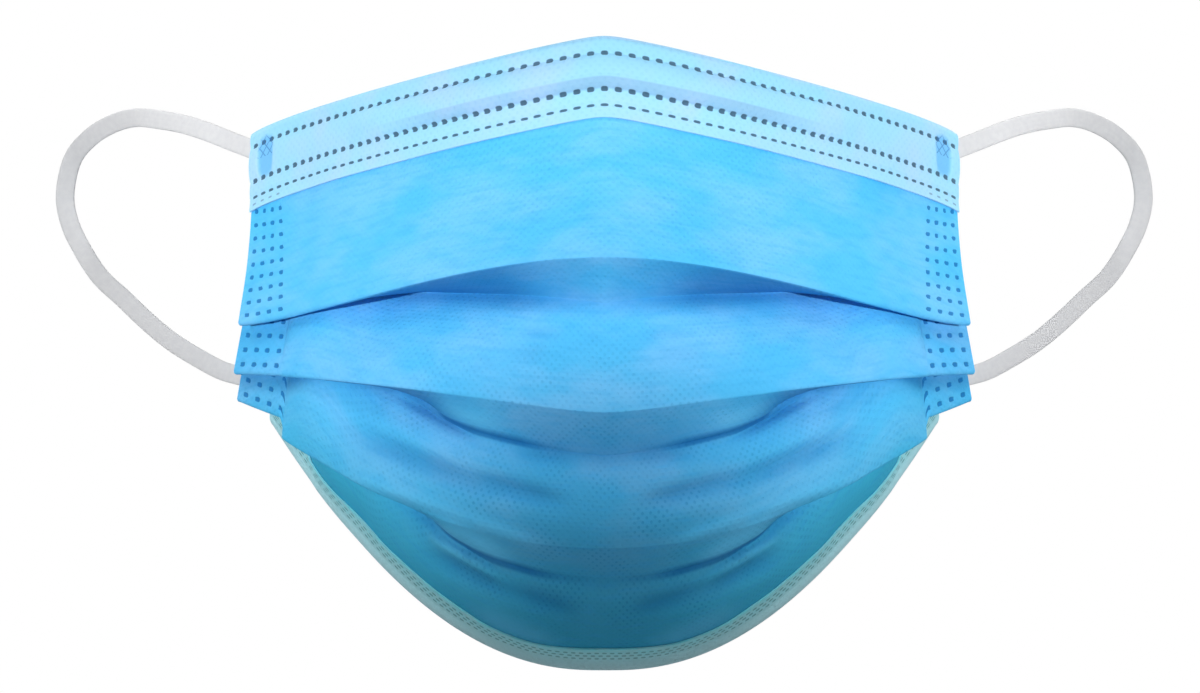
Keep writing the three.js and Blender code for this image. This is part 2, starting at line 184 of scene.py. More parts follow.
# Creases of the loose cloth, alike on both sides: each end's place, and the groove's size.
# A groove with a depth below zero is a swelling.
Crease = namedtuple("Crease", "x z to_x to_z width depth")
CREASES = [
    Crease(33, -58.6, 16, -64.4, 1.9, -1.9),
    Crease(40, -56.2, 20, -66.0, 0.9, 1.3),
    Crease(50, -62.0, 18, -75.2, 2.0, 1.7),
    Crease(28, -71.0, 4, -77.0, 1.8, 1.5),
    Crease(18, -66.8, 4, -68.0, 1.6, 0.7),
    Crease(48, -70.6, 22, -79.8, 1.2, -0.9),
    Crease(30, -77.2, 8, -85.0, 1.2, -0.8),
    Crease(33, -78.8, 14, -88.0, 1.7, -2.2),
    Crease(40, -74.4, 15.5, -90.4, 0.9, 1.3),
    Crease(34, -81.0, 16, -91.2, 1.0, -1.1),
    Crease(36, -83.6, 14, -93.6, 1.8, 1.7),
    Crease(20, -91.0, 2, -96.4, 1.8, 1.6),
    Crease(28, -94.6, 4, -104.6, 2.4, -1.5),
    Crease(17, -45.5, 6, -46.5, 1.2, 0.4),
    Crease(19, -49.5, 8, -50.0, 1.5, 0.35),
]

# The welds' sizes, and how far down each lies: the rows of dots along the top binding, the row
# that only its ends have, the dots on the tabs and the oblong that holds an ear loop.
Weld = namedtuple("Weld", "down width height")
WELD_ROWS = [Weld(3.2, 1.25, 0.85), Weld(9.8, 1.25, 0.9), Weld(12.8, 1.35, 0.5)]
BAND_TAB_WELD = Weld(14.2, 1.0, 0.4)
TAB_WELD = Weld(0, 1.0, 0.85)
PATCH_WELD = Weld(6.0, 4.4, 7.2)

# How finely the cloth is divided
UPPER_SPAN_STEPS = 16
HIDDEN_ROWS = 8
UPPER_ROWS = 46
SECTION_ROWS = [44, 40, 48]
RETURN_ROWS = 4
FOLD_ROWS = 7
FREE_COLUMNS = 60
RAMP_COLUMNS = 5
TAB_COLUMNS = 26
EDGE_TURN_ROWS = 7
FLAP_ROWS = 26
TURN_IN_ROWS = 8
WIRE_ROWS = 7
WIRE_COLUMNS = 49
HEM_SOURCE_ROWS = 40
HEM_ROWS = 27
HEM_TURN_IN_ROWS = 6

TAB_SHARE = 1 - TAB_WIDTH / HALF_CLOTH
RAMP_SHARE = RAMP_WIDTH / HALF_CLOTH
LAYER_PITCH = CLOTH + LAYER_GAP
FOLD_RADIUS = LAYER_PITCH / 2
FOLD_SEAT = LAYER_PITCH + FOLD_RADIUS
FLAP_REST = (CLOTH + BINDING) / 2 + FLAP_AIR
EDGE_COVER = FLAP_REST + BINDING / 2
HEM_REST = (CLOTH + BINDING) / 2 + HEM_AIR
WIRE_REST = (CLOTH + WIRE_THICKNESS) / 2 + FLAP_AIR / 2

# The route of the right ear loop, from its upper weld round to its lower weld
LOOP_ROUTE = [
    (57, 45.4, -13.8), (61.4, 50.4, -13), (68, 56, -11), (73, 61.5, -9), (77.5, 67.5, -7.5),
    (82.5, 74, -6.5), (87, 80, -6), (91.5, 86, -7), (96, 91.5, -9.5), (99.5, 96, -13.5),
    (101, 98, -20.5), (100, 96.5, -25.5), (97.5, 93.5, -30.5), (94, 88.5, -35.5),
    (89.5, 82, -39.5), (84.5, 75, -44), (80, 68.5, -47.5), (75, 62.5, -50.5),
    (70, 57, -53), (65, 52, -54.2), (60.6, 47.3, -54.4), (57, 41.6, -54.4),
]

# The points of each end, the line they lie behind, and how far the weld presses them in
LOOP_WELDS = [
    (slice(0, 2), "bridge", 1.5),
    (slice(-2, None), "ridge3", 2.2),
]


def make_camera():
    camera = bpy.data.objects.new("camera", bpy.data.cameras.new("camera"))
    bpy.context.scene.collection.objects.link(camera)
    camera.data.sensor_width = SENSOR_WIDTH
    camera.data.lens = SENSOR_WIDTH * PIXELS_PER_MM * CAMERA_DISTANCE / PHOTO_WIDTH
    camera.data.clip_end = 20
    aside = (PHOTO_WIDTH / 2 - MASK_MIDDLE_PIXEL) / PIXELS_PER_MM
    camera.location = Vector((aside, -CAMERA_DISTANCE, CAMERA_HEIGHT)) * MM
    camera.rotation_euler = (math.radians(90), 0, 0)
    bpy.context.scene.camera = camera


# Small tools for points held as arrays


def smooth(x):
    x = np.clip(x, 0, 1)
    return x * x * (3 - 2 * x)


def length_of(vectors):
    return np.linalg.norm(vectors, axis=-1)


def unit(vectors):
    return vectors / np.maximum(length_of(vectors), 1e-9)[..., None]


def travelled(points):
    """The distance along points (rows, ..., 3) up to each row."""
    steps = length_of(np.diff(points, axis=0))
    return np.concatenate([np.zeros_like(steps[:1]), np.cumsum(steps, axis=0)])


def nearest_multiple(x, pitch):
    """The distance from x to the nearest multiple of pitch."""
    return np.abs((x + pitch / 2) % pitch - pitch / 2)


def resample(lines, distances, values=None):
    """The points at distances (rows, columns) along lines (points, columns, 3), or, where values
    are given for the lines' points, the values there."""
    values = lines if values is None else values
    lengths = travelled(lines)
    result = np.empty(distances.shape + (3,))
    for column, axis in np.ndindex(result.shape[1:]):
        result[:, column, axis] = np.interp(
            distances[:, column], lengths[:, column], values[:, column, axis]
        )
    return result


def catmull_rom(points, per_span):
    """A centripetal Catmull-Rom curve through points (count, columns, 3)."""
    first = 2 * points[0] - points[1]
    last = 2 * points[-1] - points[-2]
    p = np.concatenate([first[None], points, last[None]])
    part = np.linspace(0, 1, per_span, endpoint=False)[:, None, None]
    spans = []
    for k in range(1, len(p) - 2):
        d0, d1, d2 = (np.sqrt(length_of(p[k + j] - p[k + j - 1]))[:, None] for j in range(3))
        enter = (p[k] - p[k - 1]) / d0 - (p[k + 1] - p[k - 1]) / (d0 + d1) + (p[k + 1] - p[k]) / d1
        leave = (p[k + 1] - p[k]) / d1 - (p[k + 2] - p[k]) / (d1 + d2) + (p[k + 2] - p[k + 1]) / d2
        enter, leave = enter * d1, leave * d1
        square = -3 * p[k] + 3 * p[k + 1] - 2 * enter - leave
        cube = 2 * p[k] - 2 * p[k + 1] + enter + leave
        spans.append(p[k] + enter * part + square * part**2 + cube * part**3)
    return np.concatenate([*spans, points[-1][None]])


# The cloth's shape, worked out at an array of shares from the middle plane (0) to a side (1)


def sweep(share, turn, ease):
    """How far out and back a line has gone at each share, as shares of the whole."""
    steps = (np.arange(SWEEP_STEPS) + 0.5) / SWEEP_STEPS

    def walk(end):
        swing = math.radians(turn) * (1 - (1 - np.outer(end, steps)) ** ease)
        return np.cos(swing).mean(axis=1) * end, np.sin(swing).mean(axis=1) * end

    out, back = walk(share)
    whole_out, whole_back = walk(np.ones(1))
    return out / whole_out, back / whole_back


def sprung_open(name, share):
    """0 near the tabs, and 1 where the cloth of a line has sprung clear of them."""
    return smooth((HALF_CLOTH * (1 - share) - SPRING_INSET) / SPRING_RAMP.get(name, RAMP_WIDTH))


def free_of_tab(share):
    return smooth((TAB_SHARE - share) / RAMP_SHARE)


def tab_hold(share):
    return np.where(share > TAB_SHARE, (1 - share) / (1 - TAB_SHARE), 1 - free_of_tab(share))


def line_points(name, share, sprung=1):
    """A level line of the cloth. sprung is 0 for the line before the pleats spring open."""
    line = LINES[name]
    out, back = sweep(share, line.turn, line.ease)
    rounded = np.hypot(out, PEAK_ROUNDING) - PEAK_ROUNDING * (1 - out)
    bow = 1 - (1 - rounded.clip(0, 1) ** line.bow_in) ** line.bow_out
    swing = math.radians(line.turn) * (1 - (1 - share) ** line.ease)
    spring = sprung * SPRING_HEIGHT * line.spring * sprung_open(name, share) * share
    rise = line.middle_up + (line.side_up - line.middle_up) * bow + line.tab_lift * tab_hold(share)
    depth = line.middle_back + (line.side_back - line.middle_back) * back
    x = HALF_WIDTH * line.side_out * out + spring * np.sin(swing)
    y = FACE_DEPTH * depth - spring * np.cos(swing)
    return np.stack([x, y, FRONT_HEIGHT * rise], axis=-1)


def outward(name, share):
    """The level direction straight out of the cloth at each share of a line."""
    near = line_points(name, np.maximum(share - REACH, 0), 0)
    far = line_points(name, np.minimum(share + REACH, 1), 0)
    step = far - near
    return unit(np.stack([step[:, 1], -step[:, 0], np.zeros(len(share))], axis=-1))


def heading(out, angle):
    return out * np.cos(angle)[:, None] + UP * np.sin(angle)[:, None]


def run_angle(start, end, out):
    step = end - start
    return np.arctan2(step[:, 2], (step * out).sum(axis=1))


def slant(start, end, out):
    """How far sideways the cloth goes for each unit of its length between two lines."""
    step = end - start
    level = step * np.array([1.0, 1.0, 0.0])
    return (level - (step * out).sum(axis=1)[:, None] * out) / length_of(step)[:, None]


def fold_points(apex, out, in_angle, out_angle, side):
    """Points round a fold whose apex is known. side is 1 for a ridge and -1 for a valley."""
    quarter = math.pi / 2
    centre = apex - heading(out, (in_angle + out_angle) / 2 + quarter) * side * FOLD_RADIUS
    parts = np.linspace(0, 1, FOLD_ROWS)
    angles = [in_angle + (out_angle - in_angle) * part for part in parts]
    return np.stack([centre + heading(out, a + quarter) * side * FOLD_RADIUS for a in angles])


def closing(pleat, share):
    """How far a pleat is closed: 0 where its under side lies level, 1 on the tabs."""
    return smooth((share / TAB_SHARE - pleat.level) / (1 - pleat.level))


def return_angle(pleat, share, in_angle):
    opening = np.maximum(1 - (share / TAB_SHARE / pleat.level) ** pleat.hold, 0)
    return -math.pi + math.radians(pleat.droop) * opening + in_angle * closing(pleat, share)


def swell_at(pleat, share, part):
    most = (1 / (pleat.skew + 1)) * (pleat.skew / (pleat.skew + 1)) ** pleat.skew
    full = PLEAT_DEPTH * pleat.swell * smooth((TAB_SHARE - share) / (1 - TAB_SHARE))
    return full * part * (1 - part) ** pleat.skew / most


def swell_turn(pleat, share, part, span):
    return np.arctan2(swell_at(pleat, share, abs(part - REACH)), REACH * span)


def section_rows(start, end, number, share):
    """The rows strictly between two ends of a section, swelled outward between the tabs."""
    pleat = PLEATS[number]
    out = outward(pleat.next, share)
    normal = heading(out, run_angle(start, end, out) + math.pi / 2)
    rows = []
    for row in range(1, SECTION_ROWS[number]):
        part = row / SECTION_ROWS[number]
        rows.append(start + (end - start) * part + normal * swell_at(pleat, share, part)[:, None])
    return np.stack(rows)


def between(start, end, count):
    """Rows strictly between two others."""
    return np.stack([start + (end - start) * k / (count + 1) for k in range(1, count + 1)])


def first_ridge_fold(share):
    pleat = PLEATS[0]
    out = outward(pleat.ridge, share)
    ridge = line_points(pleat.ridge, share)
    in_angle = run_angle(line_points("cheek", share), ridge, out)
    return fold_points(ridge, out, in_angle, return_angle(pleat, share, in_angle), 1)


def upper_curve(share):
    """The cloth from its top edge to the first fold, as a dense line at each share."""
    points = [line_points(name, share) for name in UPPER_LINES]
    return catmull_rom(np.stack([*points, first_ridge_fold(share)[0]]), UPPER_SPAN_STEPS)


def lower_end(share, distance):
    """The points of the upper section at a distance above its lower end."""
    curve = upper_curve(share)
    whole = travelled(curve)[-1]
    return resample(curve, (whole - distance)[None])[0]


def upper_rows(share):
    curve = upper_curve(share)
    whole = travelled(curve)[-1]
    flap = FLAP_WIDTH - FLAP_OVERLAP
    hidden = np.linspace(EDGE_COVER, flap, HIDDEN_ROWS, endpoint=False)[:, None] + 0 * share
    shown = flap + (whole - flap) * np.linspace(0, 1, UPPER_ROWS, endpoint=False)[:, None]
    return resample(curve, np.concatenate([hidden, shown]))


FOLDED = -1  # marks the rows of a fold and of a pleat's hidden under side


def panel_blocks(share):
    """The panel's rows in order, as pairs of a section's number, or FOLDED, and its points."""
    blocks = [(0, upper_rows(share))]
    end_turn = 0
    before = line_points("cheek", share)
    for number, pleat in enumerate(PLEATS):
        out = outward(pleat.ridge, share)
        ridge = line_points(pleat.ridge, share)
        following = line_points(pleat.next, share)
        in_angle = run_angle(before, ridge, out) - end_turn
        back_angle = return_angle(pleat, share, in_angle)
        seat = (FOLD_SEAT * closing(pleat, share))[:, None]
        valley = ridge + heading(out, back_angle) * PLEAT_DEPTH * pleat.depth
        valley = valley - heading(out, in_angle + math.pi / 2) * seat
        slip = SLIP * PLEAT_DEPTH * pleat.depth * closing(pleat, share)
        above = lower_end(share, PLEAT_DEPTH) if number == 0 else before
        valley = valley - slant(above, ridge, out) * slip[:, None]
        span = length_of(following - valley)
        end_turn = swell_turn(pleat, share, 1, span)
        out_angle = run_angle(valley, following, outward(pleat.next, share))
        out_angle = out_angle + swell_turn(pleat, share, 0, span)
        ridge_fold = fold_points(ridge, out, in_angle, back_angle, 1)
        valley_fold = fold_points(valley, out, back_angle, out_angle, -1)
        if number > 0:
            blocks.append((number, section_rows(start, ridge_fold[0], number - 1, share)))
        blocks.append((FOLDED, ridge_fold))
        blocks.append((FOLDED, between(ridge_fold[-1], valley_fold[0], RETURN_ROWS)))
        blocks.append((FOLDED, valley_fold))
        start = valley_fold[-1]
        before = valley
    hem = line_points("hem", share)
    cover = (HEM_REST + BINDING / 2) / length_of(hem - start)
    end = hem + (start - hem) * cover[:, None]
    last = len(PLEATS)
    blocks.append((last, np.concatenate([section_rows(start, end, last - 1, share), end[None]])))
    return blocks


def mirrored(points, share):
    """Points worked out for the size of each share, with x put on the share's own side."""
    result = points.copy()
    result[..., 0] *= np.where(share < 0, -1, 1)
    return result


def crease_lift(points):
    """How far the creases raise the cloth at points, below zero in their grooves."""
    here = np.stack([np.abs(points[..., 0]), points[..., 2]], axis=-1)
    lift = np.zeros(points.shape[:2])
    for crease in CREASES:
        start = np.array([crease.x, crease.z])
        step = np.array([crease.to_x, crease.to_z]) - start
        along = ((here - start) @ step / (step @ step)).clip(0, 1)
        away = length_of(here - start - along[..., None] * step)
        taper = smooth(along / CREASE_TAPER) * smooth((1 - along) / CREASE_TAPER)
        lift -= crease.depth * taper * np.exp(-((away / crease.width) ** 2))
    return lift


def looseness(share):
    """0 on the tabs, and 1 where the cloth between them can crease."""
    return smooth((TAB_SHARE - np.abs(share)) / LOOSE_RAMP)


def wrinkled(points, share, fade=1.0):
    """Points moved straight out by the loose cloth's creases and unevenness, not on the tabs."""
    lift = np.empty(points.shape[:2])
    for row, column in np.ndindex(lift.shape):
        x, y, z = points[row, column]
        place = Vector((abs(x) / WRINKLE_WIDTH, y / WRINKLE_WIDTH, z / WRINKLE_LENGTH))
        lift[row, column] = noise.noise(place)
    lift = (lift * WRINKLE_HEIGHT + crease_lift(points)) * looseness(share) * fade
    return points + mirrored(outward("ridge2", np.abs(share)), share) * lift[..., None]


def normals_of(grid):
    """The offset that moves each grid point outward by one unit, mitred at folds."""
    across = np.empty_like(grid)
    across[:, 1:-1] = grid[:, 2:] - grid[:, :-2]
    across[:, 0] = grid[:, 1] - grid[:, 0]
    across[:, -1] = grid[:, -1] - grid[:, -2]
    step = np.diff(grid, axis=0)
    above = unit(np.cross(step, across[1:]))
    below = unit(np.cross(step, across[:-1]))
    above = np.concatenate([below[:1], above])
    below = np.concatenate([below, above[-1:]])
    turn = np.clip((above * below).sum(axis=-1), -0.5, 1)
    return (above + below) / (1 + turn)[..., None]


# Meshes


def cloth_mesh(name, grid, wall, dent, materials, maps):
    """A closed sheet of cloth round a middle surface (rows, columns, 3), with its front dented.
    The front takes the first material and the back the second. maps holds UV maps by name."""
    rows, columns = grid.shape[:2]
    normals = normals_of(grid)
    front = grid + normals * (wall / 2 - dent)[..., None]
    back = grid - normals * (wall / 2)
    points = np.concatenate([front.reshape(-1, 3), back.reshape(-1, 3)]) * MM
    at = np.arange(rows * columns).reshape(rows, columns)
    behind = at + rows * columns

    def quads(a, b, c, d):
        return np.stack([a, b, c, d], axis=-1).reshape(-1, 4)

    face = quads(at[:-1, :-1], at[1:, :-1], at[1:, 1:], at[:-1, 1:])
    rear = quads(behind[:-1, :-1], behind[:-1, 1:], behind[1:, 1:], behind[1:, :-1])
    left = quads(behind[:-1, 0], behind[1:, 0], at[1:, 0], at[:-1, 0])
    right = quads(at[:-1, -1], at[1:, -1], behind[1:, -1], behind[:-1, -1])
    top = quads(behind[0, :-1], at[0, :-1], at[0, 1:], behind[0, 1:])
    bottom = quads(at[-1, :-1], behind[-1, :-1], behind[-1, 1:], at[-1, 1:])
    faces = np.concatenate([face, rear, left, right, top, bottom])
    mesh = bpy.data.meshes.new(name)
    mesh.from_pydata(points.tolist(), [], faces.tolist())
    for material in materials:
        mesh.materials.append(material)
    index = np.zeros(len(faces), dtype=np.int32)
    index[len(face) : len(face) + len(rear)] = len(materials) - 1
    mesh.polygons.foreach_set("material_index", index)
    corners = faces.ravel() % (rows * columns)
    for map_name, values in maps.items():
        layer = mesh.uv_layers.new(name=map_name)
        layer.uv.foreach_set("vector", values.reshape(-1, 2)[corners].astype(np.float32).ravel())
    return finished(name, mesh)


def finished(name, mesh):
    """Smooths a mesh except at its sharp edges, and returns its object."""
    mesh.validate()
    mesh.polygons.foreach_set("use_smooth", np.ones(len(mesh.polygons), dtype=bool))
    mesh.set_sharp_from_angle(angle=math.radians(SHARP_ANGLE))
    mesh.update()
    piece = bpy.data.objects.new(name, mesh)
    bpy.context.scene.collection.objects.link(piece)
    return piece


def swept_mesh(name, path, widths, section, material):
    """A closed tube with a flat section (points, 2), swept along path. widths point across it."""
    tangents = unit(np.gradient(path, axis=0))
    normals = unit(np.cross(tangents, widths))
    ring = section[None, :, 0, None] * widths[:, None] + section[None, :, 1, None] * normals[:, None]
    points = (path[:, None] + ring).reshape(-1, 3) * MM
    steps, sides = len(path), len(section)
    faces = []
    for step, side in np.ndindex(steps - 1, sides):
        a, b = step * sides + side, step * sides + (side + 1) % sides
        faces.append((a, b, b + sides, a + sides))
    faces.append(tuple(reversed(range(sides))))
    faces.append(tuple((steps - 1) * sides + side for side in range(sides)))
    mesh = bpy.data.meshes.new(name)
    mesh.from_pydata(points.tolist(), [], faces)
    mesh.materials.append(material)
    along = np.repeat(travelled(path), sides)
    places = np.stack([np.tile(section[:, 0], steps), along], axis=-1)
    layer = mesh.uv_layers.new(name="cloth")
    corners = np.array([c for face in faces for c in face])
    layer.uv.foreach_set("vector", places[corners].astype(np.float32).ravel())
    return finished(name, mesh)


# Welds, the same for the meshes' dents and for the materials' colour


def dot_mask(x, y, weld):
    """1 inside a weld and 0 outside it, at a distance x from its middle and a place y down."""
    wide = (x / (weld.width / 2)) ** DOT_SQUARENESS
    high = (np.abs(y - weld.down) / (weld.height / 2)) ** DOT_SQUARENESS
    return 1 - smooth((wide + high - DOT_CORE) / DOT_RIM)


def tab_weld_mask(from_edge, above_ridge):
    """The grid of dots on a side tab, at distances from the side edge and above a ridge."""
    x = from_edge - TAB_WELD_INSET
    y = above_ridge - TAB_WELD_ABOVE_RIDGE
    inside = (x > -WELD_PITCH / 2) & (x < (TAB_WELD_COLUMNS - 0.5) * WELD_PITCH)
    inside &= y > -TAB_WELD_ROW_PITCH / 2
    x, y = nearest_multiple(x, WELD_PITCH), nearest_multiple(y, TAB_WELD_ROW_PITCH)
    return dot_mask(x, y, TAB_WELD) * inside


# Materials


class Finish:
    """Builds one procedural material, node by node."""

    def __init__(self, name):
        self.material = bpy.data.materials.new(name)
        self.material.use_nodes = True
        self.tree = self.material.node_tree
        self.shader = self.tree.nodes["Principled BSDF"]

    def node(self, kind, **settings):
        made = self.tree.nodes.new(kind)
        for key, value in settings.items():
            setattr(made, key, value)
        return made

    def feed(self, socket, value):
        if isinstance(value, bpy.types.NodeSocket):
            self.tree.links.new(value, socket)
        else:
            socket.default_value = value

    def set(self, **values):
        for key, value in values.items():
            self.feed(self.shader.inputs[key.replace("_", " ")], value)

    def math(self, operation, a, b=0.0):
        made = self.node("ShaderNodeMath", operation=operation)
        self.feed(made.inputs[0], a)
        self.feed(made.inputs[1], b)
        return made.outputs[0]

    def ramp(self, value, low, high, to_low=0.0, to_high=1.0, kind="SMOOTHSTEP"):
        made = self.node("ShaderNodeMapRange", interpolation_type=kind)
        for socket, number in zip(made.inputs, (value, low, high, to_low, to_high)):
            self.feed(socket, number)
        return made.outputs[0]

    def blend(self, share, first, second):
        made = self.node("ShaderNodeMix", data_type="RGBA")
        self.feed(made.inputs["Factor"], share)
        self.feed(made.inputs[6], first)
        self.feed(made.inputs[7], second)
        return made.outputs[2]

    def gradient(self, value, stops):
        """The colour at a value, between stops of (value, colour) in growing order."""
        first, last = stops[0][0], stops[-1][0]
        made = self.node("ShaderNodeValToRGB")
        self.feed(made.inputs[0], self.ramp(value, first, last, kind="LINEAR"))
        for number, (at, tone) in enumerate(stops):
            elements = made.color_ramp.elements
            element = elements.new(0) if number > 1 else elements[number]
            element.position = (at - first) / (last - first)
            element.color = colour(*tone)
        return made.outputs[0]

    def place(self, map_name):
        """The two coordinates of a UV map, in millimetres."""
        parts = self.node("ShaderNodeSeparateXYZ")
        self.tree.links.new(self.node("ShaderNodeUVMap", uv_map=map_name).outputs[0], parts.inputs[0])
        return parts.outputs[0], parts.outputs[1]

    def noise(self, x, y, per_mm, detail=2.0, stretch=1.0):
        place = self.node("ShaderNodeCombineXYZ")
        self.feed(place.inputs[0], self.times(x, 1 / stretch))
        self.feed(place.inputs[1], y)
        made = self.node("ShaderNodeTexNoise")
        self.feed(made.inputs["Vector"], place.outputs[0])
        made.inputs["Scale"].default_value = per_mm
        made.inputs["Detail"].default_value = detail
        return made.outputs["Fac"]

    def dots(self, x, y, weld):
        """The mask of dot_mask."""
        wide = self.math("POWER", self.math("DIVIDE", x, weld.width / 2), DOT_SQUARENESS)
        high = self.math("DIVIDE", self.off(y, weld.down), weld.height / 2)
        both = self.math("ADD", wide, self.math("POWER", high, DOT_SQUARENESS))
        return self.ramp(both, DOT_CORE, DOT_CORE + DOT_RIM, 1.0, 0.0)

    def times(self, a, b):
        return self.math("MULTIPLY", a, b)

    def off(self, value, middle):
        """How far a value lies from a middle."""
        return self.math("ABSOLUTE", self.math("SUBTRACT", value, middle))

    def over(self, base, mask, strength, tone):
        """A base colour with a tone over it where a mask is 1, as strongly as strength says."""
        return self.blend(self.times(mask, strength), base, colour(*tone))

    def complete(self, relief, depth, **values):
        """Sets the shader's values and its relief, and returns the material."""
        self.set(**values)
        bump = self.node("ShaderNodeBump")
        bump.inputs["Distance"].default_value = depth * MM
        self.feed(bump.inputs["Height"], relief)
        self.feed(self.shader.inputs["Normal"], bump.outputs[0])
        return self.material


def colour(red, green, blue):
    """An sRGB colour of 0 to 255 as the linear colour of a socket."""
    shares = np.array([red, green, blue]) / 255
    linear = np.where(shares <= 0.04045, shares / 12.92, ((shares + 0.055) / 1.055) ** 2.4)
    return (*linear.tolist(), 1.0)


def nonwoven(finish, x, y):
    """The relief of spunbond cloth: a diagonal grid of pressed points over tangled fibres."""
    half = EMBOSS_PITCH * math.sqrt(2) / 2
    rising = finish.math("PINGPONG", finish.math("ADD", x, y), half)
    falling = finish.math("PINGPONG", finish.math("SUBTRACT", x, y), half)
    size = EMBOSS_DOT * math.sqrt(2)
    points = finish.dots(rising, falling, Weld(0, size, size))
    fibres = finish.noise(x, y, 2.2, 3.0, 4.0)
    tangle = finish.noise(x, y, 1.4, 4.0)
    raised = finish.math("SUBTRACT", finish.math("ADD", fibres, tangle), points)
    return points, finish.times(raised, 0.5), fibres


def tab_welds(finish):
    from_edge, above = finish.place("tab")
    x = finish.math("SUBTRACT", from_edge, TAB_WELD_INSET)
    y = finish.math("SUBTRACT", above, TAB_WELD_ABOVE_RIDGE)
    half = WELD_PITCH / 2
    half_row = TAB_WELD_ROW_PITCH / 2
    across, down = finish.math("PINGPONG", x, half), finish.math("PINGPONG", y, half_row)
    mask = finish.dots(across, down, TAB_WELD)
    for value, operation, bound in (
        (x, "GREATER_THAN", -half),
        (x, "LESS_THAN", (TAB_WELD_COLUMNS - 0.5) * WELD_PITCH),
        (y, "GREATER_THAN", -half_row),
    ):
        mask = finish.times(mask, finish.math(operation, value, bound))
    return mask


def outer_cloth():
    finish = Finish("outer_cloth")
    x, y = finish.place("cloth")
    points, relief, _ = nonwoven(finish, x, y)
    mottle = finish.ramp(finish.noise(x, y, 0.09, 4.0, 2.0), 0.36, 0.66)
    base = finish.blend(mottle, colour(84, 194, 251), colour(114, 200, 255))
    # Painted shade: the cloth turns darker and greener towards the bottom, under the chin.
    base = finish.blend(finish.ramp(y, 84.0, 128.0, 0.0, 1.0), base, colour(68, 192, 232))
    aside = finish.math("ABSOLUTE", x)
    # Painted shade: darker towards the middle of the lower cloth.
    painted_shade_middle = finish.ramp(aside, 6.0, 48.0, 1.0, 0.0)
    base = finish.over(base, painted_shade_middle, finish.ramp(y, 62.0, 90.0, 0.0, 0.36), (20, 110, 160))
    streaks = finish.ramp(finish.noise(x, y, 0.9, 4.0, 5.0), 0.42, 0.72, 0.0, 0.3)
    base = finish.blend(streaks, base, colour(62, 172, 236))
    patchy = finish.ramp(finish.noise(x, y, 0.12, 3.0), 0.42, 0.64, 0.05, 1.0)
    patchy = finish.times(patchy, finish.ramp(aside, 20.0, 60.0, 1.0, 0.35))
    shown = finish.times(finish.ramp(y, 50.0, 110.0, 0.08, 0.34), patchy)
    base = finish.over(base, points, shown, (30, 130, 190))
    # Painted shade in the creases' grooves and painted highlight on their swellings, from the crease
    # map's lift.
    lift, _ = finish.place("crease")
    base = finish.blend(finish.ramp(lift, -1.7, 0.0, 0.45, 0.0, "LINEAR"), base, colour(14, 112, 176))
    base = finish.blend(finish.ramp(lift, 0.1, 1.5, 0.0, 0.6, "LINEAR"), base, colour(104, 206, 255))
    # Painted shade inside each pleat, under its ridge, and along its inner fold.
    inside, fold = finish.place("pleat")
    base = finish.blend(finish.math("MAXIMUM", inside, fold), base, colour(8, 100, 172))
    base = finish.over(base, tab_welds(finish), 0.8, (20, 108, 176))
    return finish.complete(relief, 0.12, Base_Color=base, Roughness=0.85, Specular_IOR_Level=0.08)


def inner_cloth():
    finish = Finish("inner_cloth")
    x, y = finish.place("cloth")
    points, relief, fibres = nonwoven(finish, x, y)
    base = finish.blend(finish.ramp(fibres, 0.3, 0.75), colour(240, 243, 245), colour(226, 233, 238))
    base = finish.over(base, points, 0.3, (205, 216, 224))
    base = finish.over(base, tab_welds(finish), 0.6, (150, 185, 205))
    return finish.complete(
        relief, 0.12, Base_Color=base, Roughness=0.82, Sheen_Weight=0.1, Specular_IOR_Level=0.25
    )


# The top binding's colours at distances below its top edge
BAND_TONES = [
    (0.0, (150, 214, 246)),
    (1.3, (172, 218, 252)),
    (2.6, (146, 204, 250)),
    (4.0, (176, 222, 252)),
    (5.4, (190, 232, 254)),
    (8.0, (178, 220, 250)),
    (10.4, (182, 226, 252)),
    (12.0, (176, 224, 252)),
    (13.4, (156, 214, 250)),
    (15.2, (158, 218, 252)),
]

# The painted shade below the wire's ridge
WIRE_SHADE = Weld(8.6, 1.0, 1.9)


def binding_cloth():
    finish = Finish("binding_cloth")
    x, y = finish.place("cloth")
    points, relief, _ = nonwoven(finish, x, y)
    aside = finish.math("ABSOLUTE", x)
    base = finish.gradient(y, BAND_TONES)
    # Painted shade below the wire's ridge, fading out towards the sides.
    shade = finish.dots(0.0, y, WIRE_SHADE)
    base = finish.over(base, shade, finish.ramp(aside, 30.0, 54.0, 0.5, 0.0), (132, 170, 205))
    mottle = finish.ramp(finish.noise(x, y, 0.07, 2.0), 0.42, 0.7, 0.0, 0.45)
    base = finish.blend(mottle, base, colour(182, 208, 250))
    base = finish.over(base, points, 0.12, (130, 190, 230))
    base = finish.over(base, patch_weld(finish, aside, y), 0.9, (112, 188, 244))
    across = finish.math("PINGPONG", x, WELD_PITCH / 2)
    for row in WELD_ROWS:
        base = finish.over(base, finish.dots(across, y, row), 0.9, (58, 88, 110))
    base = finish.over(base, patch_net(finish, aside, y), 0.6, (56, 116, 180))
    on_tab = finish.math("GREATER_THAN", aside, HALF_CLOTH - TAB_WIDTH + 2)
    mask = finish.times(finish.dots(across, y, BAND_TAB_WELD), on_tab)
    base = finish.over(base, mask, 0.6, (96, 128, 160))
    return finish.complete(
        relief, 0.08, Base_Color=base, Roughness=0.8, Sheen_Weight=0.05, Specular_IOR_Level=0.15
    )


def patch_weld(finish, aside, y):
    """The oblong weld that holds an ear loop's upper end, at a distance aside of the middle."""
    return finish.dots(finish.off(aside, HALF_CLOTH - PATCH_INSET), y, PATCH_WELD)


